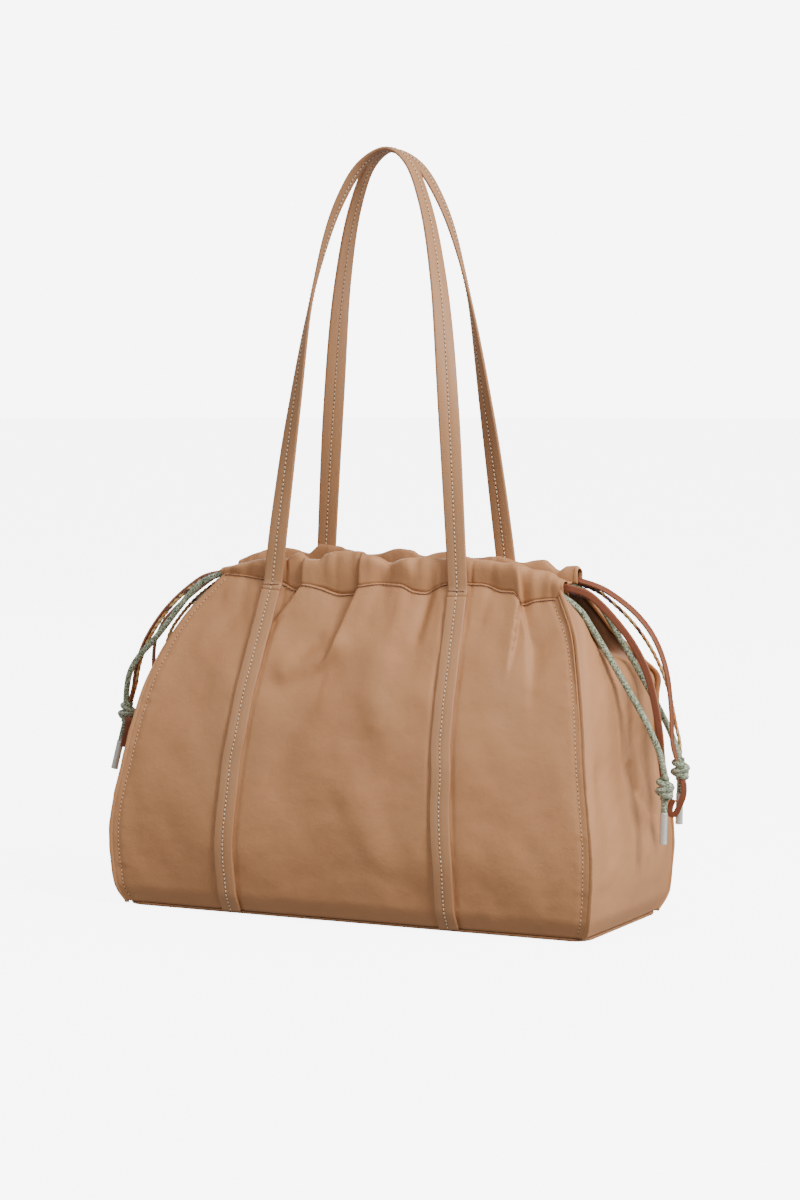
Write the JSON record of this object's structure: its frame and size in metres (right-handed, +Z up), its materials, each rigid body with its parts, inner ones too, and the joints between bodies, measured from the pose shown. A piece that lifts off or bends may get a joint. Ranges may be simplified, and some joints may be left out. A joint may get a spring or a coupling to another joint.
{
  "type": "drawstring shoulder bag",
  "caption": "Soft gathered shoulder bag with folded gussets, two loop handles and knotted drawcord bundles at both ends of the mouth.",
  "frame": {"origin": "middle of the base, on the surface that the bag stands on", "axes": "+Z up, +X along the bag's length to its right, -Y towards its front"},
  "size_m": [0.4761, 0.1768, 0.5771],
  "materials": {
    "shell_nylon": "coated plain-weave nylon, low sheen",
    "strap_tape": "folded coated strap with one row of pale stitches",
    "hem_tape": "bound edge",
    "piping": "fabric-covered piping",
    "board": "fibre-textured stiffener",
    "braided_cord": "round braid, pale green, white and dark green",
    "lace_leather": "flat lace with natural cut edges",
    "twisted_cord": "thin twisted cord in several colours",
    "tip_metal": "brushed"
  },
  "bodies": {
    "bag": {"base_panel": "shell_nylon", "base_board": "board", "base_welt": "piping", "left_gusset": "shell_nylon", "left_gusset_hem": "hem_tape", "right_gusset": "shell_nylon", "right_gusset_hem": "hem_tape", "front_panel": "shell_nylon", "front_casing": "shell_nylon", "front_tunnel_braid": "braided_cord", "front_tunnel_lace": "lace_leather", "front_tunnel_twist": "twisted_cord", "front_left_seam": "shell_nylon", "front_left_strap": "strap_tape", "front_right_seam": "shell_nylon", "front_right_strap": "strap_tape", "back_panel": "shell_nylon", "back_casing": "shell_nylon", "back_tunnel_braid": "braided_cord", "back_tunnel_lace": "lace_leather", "back_tunnel_twist": "twisted_cord", "back_left_seam": "shell_nylon", "back_left_strap": "strap_tape", "back_right_seam": "shell_nylon", "back_right_strap": "strap_tape"},
    "front_handle": {"front_handle": "strap_tape"},
    "back_handle": {"back_handle": "strap_tape"},
    "front_right_cords": {"front_right_braid": "braided_cord", "front_right_lace": "lace_leather", "front_right_twist": "twisted_cord", "front_right_knot": "braided_cord", "front_right_tip": "tip_metal"},
    "back_right_cords": {"back_right_braid": "braided_cord", "back_right_lace": "lace_leather", "back_right_twist": "twisted_cord", "back_right_knot": "braided_cord", "back_right_tip": "tip_metal"},
    "front_left_cords": {"front_left_braid": "braided_cord", "front_left_lace": "lace_leather", "front_left_twist": "twisted_cord", "front_left_knot": "braided_cord", "front_left_tip": "tip_metal"},
    "back_left_cords": {"back_left_braid": "braided_cord", "back_left_lace": "lace_leather", "back_left_twist": "twisted_cord", "back_left_knot": "braided_cord", "back_left_tip": "tip_metal"}
  },
  "joints": [
    {"name": "front_handle_swing", "type": "hinge", "parent": "bag", "child": "front_handle", "pos_m": [-0.009, -0.02641, 0.25], "axis": [1, 0, 0], "range_deg": [0, 125]},
    {"name": "back_handle_swing", "type": "hinge", "parent": "bag", "child": "back_handle", "pos_m": [0.009, 0.02641, 0.25], "axis": [-1, 0, 0], "range_deg": [0, 125]},
    {"name": "front_right_cords_lift", "type": "hinge", "parent": "bag", "child": "front_right_cords", "pos_m": [0.1515, -0.013, 0.264], "axis": [0, -1, 0], "range_deg": [0, 65]},
    {"name": "back_right_cords_lift", "type": "hinge", "parent": "bag", "child": "back_right_cords", "pos_m": [0.1515, 0.013, 0.264], "axis": [0, -1, 0], "range_deg": [0, 65]},
    {"name": "front_left_cords_lift", "type": "hinge", "parent": "bag", "child": "front_left_cords", "pos_m": [-0.1375, -0.013, 0.264], "axis": [0, 1, 0], "range_deg": [0, 65]},
    {"name": "back_left_cords_lift", "type": "hinge", "parent": "bag", "child": "back_left_cords", "pos_m": [-0.1375, 0.013, 0.264], "axis": [0, 1, 0], "range_deg": [0, 65]}
  ]
}
